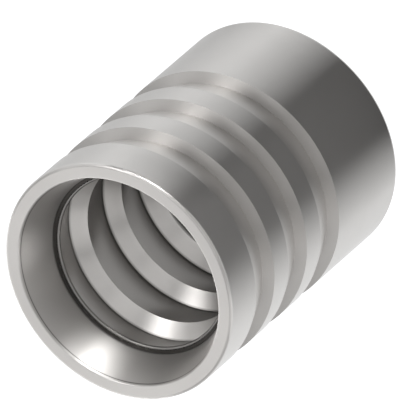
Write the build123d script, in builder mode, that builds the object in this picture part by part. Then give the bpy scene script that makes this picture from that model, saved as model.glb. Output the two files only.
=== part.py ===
from build123d import *
from math import radians, tan
import os

# A crimp ferrule for a half-inch hydraulic hose, turned from steel bar in one piece.
# It stands on its stem end with Z up its axis, and the hose goes in at the top.
# Sizes are in millimetres, and depths are measured down from the mouth face.

# Bore between the teeth, with room for the hose's wire braid, and the wall round it
root_diameter = 22.95
wall = 2.525

# Outer grooves, each a long ramp down and a short wall back up to the barrel
groove_count = 3
first_groove = 5.15
groove_pitch = 7.0
groove_depth = 1.28
ramp_run = 3.62
groove_wall_run = 0.42
plain_barrel = 12.43

# Mouth, a belled socket with a flat floor for the end of the hose cover.
# Its wall tapers down to the floor and bows in a little on the way.
rim_width = 1.65
rim_round = 0.38
mouth_depth = 4.95
mouth_taper = 17.2
mouth_bow = 0.15
floor_round = 0.25
lip_height = 1.40
lip_round = 0.20

# Teeth, each with a steep face towards the mouth and a long relief behind its crest
tooth_height = 1.68
tooth_face_run = 1.22
lip_relief = 4.23
tooth_reliefs = (6.04, 5.73, 5.50)

# Collar that the dies close into the groove of the hose stem
collar_bore = 17.5
collar_length = 4.0
collar_chamfer = 0.4

root_radius = root_diameter / 2
barrel_radius = root_radius + wall
mouth_radius = barrel_radius - rim_width
mouth_floor_radius = mouth_radius - mouth_depth * tan(radians(mouth_taper))
lip_radius = root_radius - lip_height
crest_radius = root_radius - tooth_height
collar_radius = collar_bore / 2

groove_run = ramp_run + groove_wall_run
last_ramp = first_groove + (groove_count - 1) * groove_pitch
length = last_ramp + groove_run + plain_barrel


def at(radius, depth):
    """A point of the half section, from its distance below the mouth face."""
    return (radius, length - depth)


def nearest(section, point):
    """The corner of the section that lies nearest to a point."""
    return section.vertices().sort_by_distance((*point, 0))[0]


# Down the outside from the rim to the foot
barrel = [at(barrel_radius, 0)]
for groove in range(groove_count):
    ramp_top = first_groove + groove * groove_pitch
    barrel += [
        at(barrel_radius, ramp_top),
        at(barrel_radius - groove_depth, ramp_top + ramp_run),
        at(barrel_radius, ramp_top + groove_run),
    ]
barrel.append(at(barrel_radius, length))

# Down the inside from the rim to the last root above the collar
bore = [
    at(mouth_radius, 0),
    at(mouth_floor_radius, mouth_depth),
    at(lip_radius, mouth_depth),
]
root_depth = mouth_depth + lip_relief
bore.append(at(root_radius, root_depth))
for relief in tooth_reliefs:
    crest_depth = root_depth + tooth_face_run
    root_depth = crest_depth + relief
    bore += [
        at(crest_radius, crest_depth),
        at(root_radius, root_depth),
    ]

collar = [
    at(collar_radius, length - collar_length),
    at(collar_radius, length),
]

with BuildPart() as ferrule:
    with BuildSketch(Plane.XZ) as section:
        with BuildLine():
            Line(bore[0], barrel[0])
            Polyline(*barrel, *reversed(collar), *reversed(bore[1:]))
            SagittaArc(bore[1], bore[0], mouth_bow)
        make_face()
        for rim_edge in (barrel[0], bore[0]):
            fillet(nearest(section, rim_edge), rim_round)
        fillet(nearest(section, bore[1]), floor_round)
        fillet(nearest(section, bore[2]), lip_round)
        chamfer(nearest(section, collar[1]), collar_chamfer)
    revolve(axis=Axis.Z)

ferrule.part.label = "ferrule"

os.makedirs("parts", exist_ok=True)
export_step(ferrule.part, "parts/ferrule.step")
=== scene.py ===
from math import atan2, ceil, cos, degrees, pi, radians, sin, tan
import bpy
from mathutils import Matrix, Vector


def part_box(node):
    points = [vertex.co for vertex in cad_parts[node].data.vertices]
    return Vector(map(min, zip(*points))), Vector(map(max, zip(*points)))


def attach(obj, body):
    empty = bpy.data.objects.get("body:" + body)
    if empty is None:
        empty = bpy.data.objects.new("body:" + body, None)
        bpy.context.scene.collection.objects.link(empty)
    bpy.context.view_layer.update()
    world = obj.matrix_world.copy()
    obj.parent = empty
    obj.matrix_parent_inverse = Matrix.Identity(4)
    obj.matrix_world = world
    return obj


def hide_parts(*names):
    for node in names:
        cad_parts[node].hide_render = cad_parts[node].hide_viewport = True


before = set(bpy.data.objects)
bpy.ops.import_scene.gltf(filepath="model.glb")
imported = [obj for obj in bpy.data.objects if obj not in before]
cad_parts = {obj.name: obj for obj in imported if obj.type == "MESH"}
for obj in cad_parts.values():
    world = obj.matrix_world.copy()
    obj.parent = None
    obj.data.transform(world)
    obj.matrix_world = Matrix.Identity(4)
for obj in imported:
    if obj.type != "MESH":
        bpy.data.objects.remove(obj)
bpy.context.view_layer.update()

mm = 0.001


# The ferrule. A single piece of free-cutting steel, turned from bar: a plain barrel with three
# ramped grooves, a belled mouth for the hose, gripping teeth down the bore and a collar at the
# foot. Every corner keeps the small round that the tool and the tumbling barrel leave on it.
foot_corner, mouth_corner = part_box("ferrule")
length = mouth_corner.z - foot_corner.z
barrel_radius = mouth_corner.x

groove_count = 3
first_groove = 5.15 * mm
groove_pitch = 7.0 * mm
groove_depth = 1.28 * mm
ramp_run = 3.62 * mm
groove_wall_run = 0.42 * mm
groove_round = 0.006 * mm

wall = 2.525 * mm
rim_width = 1.65 * mm
rim_round = 0.38 * mm
mouth_edge_round = 0.2 * mm
edge_line_top = 0.3 * mm
edge_line_foot = 0.42 * mm
mouth_depth = 4.95 * mm
mouth_taper = radians(17.2)
mouth_bow = 0.15 * mm
mouth_curve = 20 * mm
mouth_floor_round = 0.06 * mm
lip_height = 1.40 * mm
lip_round = 0.20 * mm
lip_relief = 4.23 * mm
painted_shade_ring = 0.32 * mm

tooth_height = 1.68 * mm
tooth_face_run = 1.22 * mm
tooth_reliefs = (6.04 * mm, 5.73 * mm, 5.50 * mm)
tooth_round = 0.02 * mm
last_relief_shade = 0.5 * mm
collar_radius = 8.75 * mm
collar_length = 4.0 * mm
collar_round = 0.30 * mm
foot_round = 0.10 * mm

sides = 320
round_step = 7
fewest_round_steps = 4
edge_spread = 0.12 * mm
hollow_share = 0.12

root_radius = barrel_radius - wall
crest_radius = root_radius - tooth_height
lip_radius = root_radius - lip_height
mouth_radius = barrel_radius - rim_width
mouth_floor_radius = mouth_radius - mouth_depth * tan(mouth_taper)

# Each corner of the half section: its radius, its depth below the mouth face, its round, and its
# tone, which is above 0 where handling rubs an edge bright and below 0 where shade is painted dark
# into a hollow.
# A corner without a round lies on a plain wall, where only the tone changes.
corners = [(barrel_radius, 0, rim_round, 0.3)]
for groove in range(groove_count):
    ramp_top = first_groove + groove * groove_pitch
    ramp_foot = ramp_top + ramp_run
    corners += [
        (barrel_radius, ramp_top, groove_round, 0),
        (barrel_radius - groove_depth, ramp_foot, groove_round, 0),
        (barrel_radius, ramp_foot + groove_wall_run, groove_round, 0),
    ]
corners += [
    (barrel_radius, length, foot_round, 0.5),
    (collar_radius, length, collar_round, 0.5),
    (collar_radius, length - collar_length, foot_round, 0.3),
]

# The bell is one wide round, on a corner that stands in from the middle of the mouth's wall
bell_radius = (mouth_radius + mouth_floor_radius) / 2 - 2 * mouth_bow * cos(mouth_taper)
bell_depth = mouth_depth / 2 + 2 * mouth_bow * sin(mouth_taper)


def mouth_wall(depth):
    """The radius of the mouth's wall above the bell's corner."""
    return mouth_radius + (bell_radius - mouth_radius) * depth / bell_depth


# Down the inside, with a thin line of painted shade just under the mouth's edge
inside = [
    (mouth_radius, 0, mouth_edge_round, 0.5),
    (mouth_wall(edge_line_top), edge_line_top, 0, -0.85),
    (mouth_wall(edge_line_foot), edge_line_foot, 0, 0),
    (bell_radius, bell_depth, mouth_curve, 0),
    # Painted shade, at its darkest, over the mouth's floor up to the lip
    (mouth_floor_radius, mouth_depth, mouth_floor_round, -1),
    (lip_radius + painted_shade_ring, mouth_depth, 0, -1),
    (lip_radius, mouth_depth, lip_round, -0.6),
    (root_radius, mouth_depth + lip_relief, tooth_round, -0.75),
]
root_depth = mouth_depth + lip_relief
for relief in tooth_reliefs:
    crest_depth = root_depth + tooth_face_run
    root_depth = crest_depth + relief
    inside += [
        (crest_radius, crest_depth, tooth_round, 0.3),
        (root_radius, root_depth, tooth_round, -0.75),
    ]
# The last hollow, above the collar, gets painted shade from just behind its crest
inside.insert(-1, (
    crest_radius + tooth_height * last_relief_shade / tooth_reliefs[-1],
    crest_depth + last_relief_shade,
    0,
    -0.75,
))
corners += reversed(inside)
corner_places = [Vector((radius, length - depth)) for radius, depth, size, tone in corners]


def round_corner(number):
    """The points of a rounded corner, each with the direction that the surface faces there and
    its tone. A point more on each side keeps the tone from spreading along the flats."""
    size, tone = corners[number][2:]
    after_number = (number + 1) % len(corners)
    before, corner, after = (corner_places[i] for i in (number - 1, number, after_number))
    way_in = (corner - before).normalized()
    way_out = (after - corner).normalized()
    facing = Vector((-way_in.y, way_in.x))
    if size == 0:
        return [(corner, facing, tone)]
    turn = atan2(way_in.cross(way_out), way_in.dot(way_out))
    bulge = -1 if turn > 0 else 1
    reach = size * tan(abs(turn) / 2)
    centre = corner - way_in * reach - facing * size * bulge
    steps = max(fewest_round_steps, ceil(abs(degrees(turn)) / round_step))
    points = []
    for step in range(steps + 1):
        around = Matrix.Rotation(turn * step / steps, 2) @ facing
        points.append((centre + around * size * bulge, around, tone))
    flat_in, flat_out = edge_spread, edge_spread
    if bulge < 0:
        flat_in = hollow_share * (corner - before).length
        flat_out = hollow_share * (after - corner).length
    if tone and corners[number - 1][3] != tone:
        points.insert(0, (corner - way_in * (reach + flat_in), facing, 0))
    if tone and corners[after_number][3] != tone:
        points.append((corner + way_out * (reach + flat_out), points[-1][1], 0))
    return points


def stand(name, points, faces):
    """Puts a mesh in the scene, as an object of the same name."""
    mesh = bpy.data.meshes.new(name)
    mesh.from_pydata(points, [], faces)
    piece = bpy.data.objects.new(name, mesh)
    bpy.context.scene.collection.objects.link(piece)
    return piece


def keep(piece, name, values):
    """Keeps a number with each point of a piece, for its material to read."""
    piece.data.attributes.new(name, "FLOAT", "POINT").data.foreach_set("value", values)


# Satin steel: bright metal with the fine rings of the turning tool, a faint cloudiness from the
# tumbling, crests rubbed a little brighter, and shade painted nearly black into the hollows and a
# thin line under the mouth's edge. The bell comes off a rougher tool than the rest.
steel_colour = (0.585, 0.569, 0.553, 1)
cloud_colour = (0.52, 0.504, 0.488, 1)
# Painted shade: the near black that the hollows are darkened towards
painted_shade_colour = (0.07, 0.066, 0.062, 1)
rubbed_colour = (0.63, 0.614, 0.598, 1)
steel_roughness = 0.30
bell_roughness = 0.38
gloss_spread = 0.015
cloud_size = 3.0 * mm
cloud_share = 0.35
cloud_detail = 5
cloud_crispness = 0.6
ring_width = 0.35 * mm
ring_height = 0.0002 * mm
ring_detail = 1
cut_stretch = 0.8
quarter_turn = 0.25

outline = []
for number in range(len(corners)):
    outline += round_corner(number)

points, facings, tones, roughnesses, faces = [], [], [], [], []
for place, facing, tone in outline:
    in_bell = place.x < mouth_radius and place.y > length - mouth_depth
    for side in range(sides):
        angle = 2 * pi * side / sides
        points.append((place.x * cos(angle), place.x * sin(angle), place.y))
        facings.append((facing.x * cos(angle), facing.x * sin(angle), facing.y))
        tones.append(tone)
        roughnesses.append(bell_roughness if in_bell else steel_roughness)
for ring in range(len(outline)):
    next_ring = (ring + 1) % len(outline)
    for side in range(sides):
        next_side = (side + 1) % sides
        faces.append((
            ring * sides + side,
            next_ring * sides + side,
            next_ring * sides + next_side,
            ring * sides + next_side,
        ))
ferrule = stand("turned_ferrule", points, faces)
ferrule.data.shade_smooth()
ferrule.data.normals_split_custom_set_from_vertices(facings)
keep(ferrule, "tone", tones)
keep(ferrule, "roughness", roughnesses)


def start_material(piece, name):
    """Gives a piece a new material, and returns its node tree and its shader's inputs."""
    material = bpy.data.materials.new(name)
    material.use_nodes = True
    piece.data.materials.append(material)
    return material.node_tree, material.node_tree.nodes["Principled BSDF"].inputs


def kept(tree, name):
    """Reads a number that is kept with the points of a piece."""
    node = tree.nodes.new("ShaderNodeAttribute")
    node.attribute_name = name
    return node.outputs["Fac"]


def noise(tree, vector, size, detail):
    """Makes a noise of a given grain along a vector, and returns its node."""
    node = tree.nodes.new("ShaderNodeTexNoise")
    node.inputs["Scale"].default_value = 1 / size
    node.inputs["Detail"].default_value = detail
    tree.links.new(vector, node.inputs["Vector"])
    return node


def fade(tree, amount, low, high, full=1):
    """Turns a pattern that runs from 0 to full into a value between low and high."""
    node = tree.nodes.new("ShaderNodeMapRange")
    node.inputs["From Max"].default_value = full
    node.inputs["To Min"].default_value = low
    node.inputs["To Max"].default_value = high
    tree.links.new(amount, node.inputs["Value"])
    return node.outputs["Result"]


def add(tree, first, second):
    """Adds up two values, each the output of a node."""
    node = tree.nodes.new("ShaderNodeMath")
    tree.links.new(first, node.inputs[0])
    tree.links.new(second, node.inputs[1])
    return node.outputs["Value"]


def blend(tree, amount, first, second):
    """Mixes two colours, each given as a colour or as the output of a node."""
    node = tree.nodes.new("ShaderNodeMix")
    node.data_type = "RGBA"
    tree.links.new(amount, node.inputs["Factor"])
    ends = [socket for socket in node.inputs if socket.type == "RGBA"]
    for socket, colour in zip(ends, (first, second)):
        if isinstance(colour, tuple):
            socket.default_value = colour
        else:
            tree.links.new(colour, socket)
    return [socket for socket in node.outputs if socket.type == "RGBA"][0]


tree, inputs = start_material(ferrule, "satin_steel")
inputs["Metallic"].default_value = 1.0

# The rings run round the axis, so their pattern changes only with the radius and the height
place = tree.nodes.new("ShaderNodeTexCoord")
along = tree.nodes.new("ShaderNodeSeparateXYZ")
tree.links.new(place.outputs["Object"], along.inputs[0])
flat_place = tree.nodes.new("ShaderNodeCombineXYZ")
tree.links.new(along.outputs["X"], flat_place.inputs["X"])
tree.links.new(along.outputs["Y"], flat_place.inputs["Y"])
from_axis = tree.nodes.new("ShaderNodeVectorMath")
from_axis.operation = "LENGTH"
tree.links.new(flat_place.outputs[0], from_axis.inputs[0])
round_place = tree.nodes.new("ShaderNodeCombineXYZ")
tree.links.new(from_axis.outputs["Value"], round_place.inputs["X"])
tree.links.new(along.outputs["Z"], round_place.inputs["Y"])

rings = noise(tree, round_place.outputs[0], ring_width, ring_detail).outputs["Fac"]
cloud_noise = noise(tree, place.outputs["Object"], cloud_size, cloud_detail)
cloud_noise.inputs["Roughness"].default_value = cloud_crispness
clouds = cloud_noise.outputs["Fac"]

tone = kept(tree, "tone")
cloudy = blend(tree, fade(tree, clouds, 0, cloud_share), steel_colour, cloud_colour)
rubbed = blend(tree, fade(tree, tone, 0, 1), cloudy, rubbed_colour)
# Painted shade: where the tone is below 0 it darkens the colour towards near black
wear_and_painted_shade = blend(tree, fade(tree, tone, 0, 1, full=-1), rubbed, painted_shade_colour)
tree.links.new(wear_and_painted_shade, inputs["Base Color"])

ring_gloss = fade(tree, rings, -gloss_spread, gloss_spread)
cloud_gloss = fade(tree, clouds, -gloss_spread, gloss_spread)
uneven_gloss = add(tree, ring_gloss, cloud_gloss)
tree.links.new(add(tree, uneven_gloss, kept(tree, "roughness")), inputs["Roughness"])

# The tool's fine rings spread what the steel mirrors up and down it, and hardly round it
cut_direction = tree.nodes.new("ShaderNodeTangent")
cut_direction.direction_type = "RADIAL"
cut_direction.axis = "Z"
tree.links.new(cut_direction.outputs[0], inputs["Tangent"])
inputs["Anisotropic"].default_value = cut_stretch
inputs["Anisotropic Rotation"].default_value = quarter_turn

rings_relief = tree.nodes.new("ShaderNodeBump")
rings_relief.inputs["Distance"].default_value = ring_height
tree.links.new(rings, rings_relief.inputs["Height"])
tree.links.new(rings_relief.outputs["Normal"], inputs["Normal"])

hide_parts("ferrule")
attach(ferrule, "root")


# The table. A white sheet wide enough to fill every view, which the camera and the steel see as
# evenly white, while it still takes the ferrule's own soft shadow.
table_reach = 1.5
table_grey = 0.3
table_glow = 0.94
glow_colour = (0.985, 1.0, 1.01, 1)
paper_roughness = 0.9


def start_matt(piece, name, grey, roughness):
    """Gives a piece a matt grey without any shine."""
    tree, inputs = start_material(piece, name)
    inputs["Base Color"].default_value = (grey, grey, grey, 1)
    inputs["Roughness"].default_value = roughness
    inputs["Specular IOR Level"].default_value = 0.0
    return tree, inputs


table_corners = [
    (-table_reach, -table_reach, 0),
    (table_reach, -table_reach, 0),
    (table_reach, table_reach, 0),
    (-table_reach, table_reach, 0),
]
table = stand("table", table_corners, [(0, 1, 2, 3)])

tree, inputs = start_matt(table, "white_sheet", table_grey, paper_roughness)
light_path = tree.nodes.new("ShaderNodeLightPath")
seen = add(
    tree,
    add(tree, light_path.outputs["Is Camera Ray"], light_path.outputs["Is Glossy Ray"]),
    light_path.outputs["Is Transmission Ray"],
)
tree.links.new(fade(tree, seen, 0, table_glow), inputs["Emission Strength"])
inputs["Emission Color"].default_value = glow_colour


# The shaded card. A fan of card that lies round the foot, where only the steel sees it. It carries
# a painted reflection, darkest in front and fading to clear, that gives the barrel its one soft
# dark stripe.
card_reach = 120 * mm
card_grey = 0.2
card_lift = 0.2 * mm
card_step = 3

# The angle round the foot, and how dark the painted reflection is there
card_shades = (
    (33, 0),
    (51, 0.58),
    (62, 1),
    (99, 1),
    (117, 0.4),
    (132, 0.04),
    (156, 0.4),
    (180, 0.3),
)


def card_shade(degree):
    """How dark the painted reflection is at any angle round the foot."""
    for (start, start_shade), (end, end_shade) in zip(card_shades, card_shades[1:]):
        if degree <= end:
            return start_shade + (end_shade - start_shade) * (degree - start) / (end - start)


# Each fold of the fan leaves the foot the way in which the barrel there mirrors the table
card_points, card_cover = [], []
for degree in range(card_shades[0][0], card_shades[-1][0] + 1, card_step):
    angle = radians(degree)
    for reach in (0, card_reach):
        card_points.append((
            -barrel_radius * cos(angle) - reach * sin(2 * angle),
            -barrel_radius * sin(angle) + reach * cos(2 * angle),
            card_lift,
        ))
        card_cover.append(card_shade(degree))
card_faces = [(i, i + 1, i + 3, i + 2) for i in range(0, len(card_points) - 2, 2)]
card = stand("shaded_card", card_points, card_faces)
card.visible_camera = False
card.visible_shadow = False
card.visible_diffuse = False
keep(card, "cover", card_cover)

tree, inputs = start_matt(card, "painted_reflection_card", card_grey, paper_roughness)
# Painted reflection: the steel sees the card's grey as far as its cover reaches
tree.links.new(kept(tree, "cover"), inputs["Alpha"])


# The felt round. A grey disc inside the foot, where only the steel sees it, that glows as painted
# light, dimmer than the table, so that no more light comes up the bore than a table under a closed
# ring would give.
felt_gap = 0.1 * mm
felt_lift = 0.05 * mm
felt_grey = 0.3
felt_glow = 0.48
felt_roughness = 1.0
felt_sides = 48
felt_radius = collar_radius - felt_gap
felt_rim = []
for side in range(felt_sides):
    angle = 2 * pi * side / felt_sides
    felt_rim.append((felt_radius * cos(angle), felt_radius * sin(angle), felt_lift))
felt = stand("felt_round", felt_rim, [tuple(range(felt_sides))])
felt.visible_camera = False
felt.visible_shadow = False

tree, inputs = start_matt(felt, "painted_bore_light", felt_grey, felt_roughness)
inputs["Emission Color"].default_value = (1, 1, 1, 1)
# Painted light: the disc glows, dimmer than the table
inputs["Emission Strength"].default_value = felt_glow


# The flag. A grey card that hangs between the low key lamp and the ferrule, out of the picture. It
# keeps that lamp off the barrel and lets its light pass over the rim into the mouth.
flag_turn = -52
flag_distance = 60 * mm
flag_width = 76 * mm
flag_bottom = 9 * mm
flag_top = 44 * mm
flag_grey = 0.3


def towards(turn, rise):
    """The direction of a turn round the ferrule and a rise above the table, both in degrees."""
    flat = cos(radians(rise))
    return Vector((flat * cos(radians(turn)), flat * sin(radians(turn)), sin(radians(rise))))


flag_corners = [
    towards(flag_turn, 0) * flag_distance
    + towards(flag_turn + 90, 0) * side * flag_width / 2
    + Vector((0, 0, height))
    for side, height in ((-1, flag_bottom), (1, flag_bottom), (1, flag_top), (-1, flag_top))
]
flag = stand("flag", flag_corners, [(0, 1, 2, 3)])
flag.visible_camera = False
flag.visible_diffuse = False
start_matt(flag, "grey_card", flag_grey, paper_roughness)


# The lamps. Soft panels round the table, each given by where it stands, how wide and how high it
# looks from the ferrule, and how bright it is next to a white sheet.
lamp_distance = 600 * mm
lamps = {
    "key_low": (-52, 13, 20, 5, 50),
    "key_low_right": (-34, 10, 12, 10, 14),
    "key_low_left": (-72, 10, 14, 10, 8),
    "low_right": (-10, 10, 24, 12, 0.8),
    "low_back": (90, 12, 60, 14, 2.6),
    "low_left": (190, 12, 30, 14, 1.2),
    "high_front_right": (-26, 46, 10, 18, 0.8),
    "high_right": (-12, 46, 13, 18, 3.7),
    "high_side": (4, 44, 10, 18, 1.4),
    "side_right": (18, 30, 18, 16, 0.9),
    "high_back_right": (46, 50, 16, 16, 0.5),
    "high_back": (92, 46, 24, 22, 0.8),
    "high_back_left": (145, 50, 30, 26, 0.33),
    "high_left": (190, 45, 30, 26, 0.5),
    "top_front": (-60, 66, 24, 24, 0.65),
    "top_right": (0, 70, 24, 24, 0.7),
    "top_left": (240, 66, 24, 24, 0.55),
}
aim_point = Vector((0, 0, length / 2))
for name, (turn, rise, width, height, brightness) in lamps.items():
    panel = bpy.data.lights.new(name, "AREA")
    panel.shape = "RECTANGLE"
    panel.size = 2 * lamp_distance * tan(radians(width) / 2)
    panel.size_y = 2 * lamp_distance * tan(radians(height) / 2)
    panel.energy = brightness * pi * panel.size * panel.size_y
    lamp = bpy.data.objects.new(name, panel)
    lamp.location = aim_point + towards(turn, rise) * lamp_distance
    lamp.rotation_euler = towards(turn, rise).to_track_quat("Z", "Y").to_euler()
    bpy.context.scene.collection.objects.link(lamp)


# The room. Plain pale walls that are brightest at the height of the table, dim a little up to the
# lamps, and stay even over the ceiling.
room_brightness = ((0, 0.75), (12, 0.6), (30, 0.5))
room = bpy.data.worlds.new("room")
bpy.context.scene.world = room
room.use_nodes = True
tree = room.node_tree
direction = tree.nodes.new("ShaderNodeTexCoord")
upward = tree.nodes.new("ShaderNodeSeparateXYZ")
tree.links.new(direction.outputs["Generated"], upward.inputs[0])
walls = tree.nodes.new("ShaderNodeValToRGB")
stops = walls.color_ramp.elements
stops.new(0.5)
for stop, (rise, grey) in zip(stops, room_brightness):
    stop.position = sin(radians(rise))
    stop.color = (grey, grey, grey, 1)
tree.links.new(upward.outputs["Z"], walls.inputs["Fac"])
tree.links.new(walls.outputs["Color"], tree.nodes["Background"].inputs["Color"])
bpy.context.scene.view_settings.view_transform = "Standard"


# The camera. It looks down into the mouth from 41 degrees off the ferrule's axis, through a long
# lens, and is rolled so that the mouth comes towards the lower left of the picture.
view_tilt = radians(41.28)
view_roll = radians(229.06)
lens_mm = 1650
sensor_mm = 36
picture_width = 42.978 * mm
picture_pixels = 400
mouth_centre_pixel = (118.53, 281.96)
nearest_seen = 10 * mm
furthest_seen = 10

turned = Matrix.Rotation(view_tilt, 4, "X") @ Matrix.Rotation(view_roll, 4, "Z")
pixel = picture_width / picture_pixels
aim = Vector((0, 0, length)) + turned @ Vector((
    (picture_pixels / 2 - mouth_centre_pixel[0]) * pixel,
    (mouth_centre_pixel[1] - picture_pixels / 2) * pixel,
    -length / 2 * cos(view_tilt),
))
camera_distance = picture_width * lens_mm / sensor_mm
camera_data = bpy.data.cameras.new("camera")
camera_data.sensor_width = sensor_mm
camera_data.lens = lens_mm
camera_data.clip_start = nearest_seen
camera_data.clip_end = furthest_seen
camera = bpy.data.objects.new("camera", camera_data)
camera.matrix_world = (
    Matrix.Translation(aim + turned @ Vector((0, 0, camera_distance))) @ turned
)
bpy.context.scene.collection.objects.link(camera)
bpy.context.scene.camera = camera
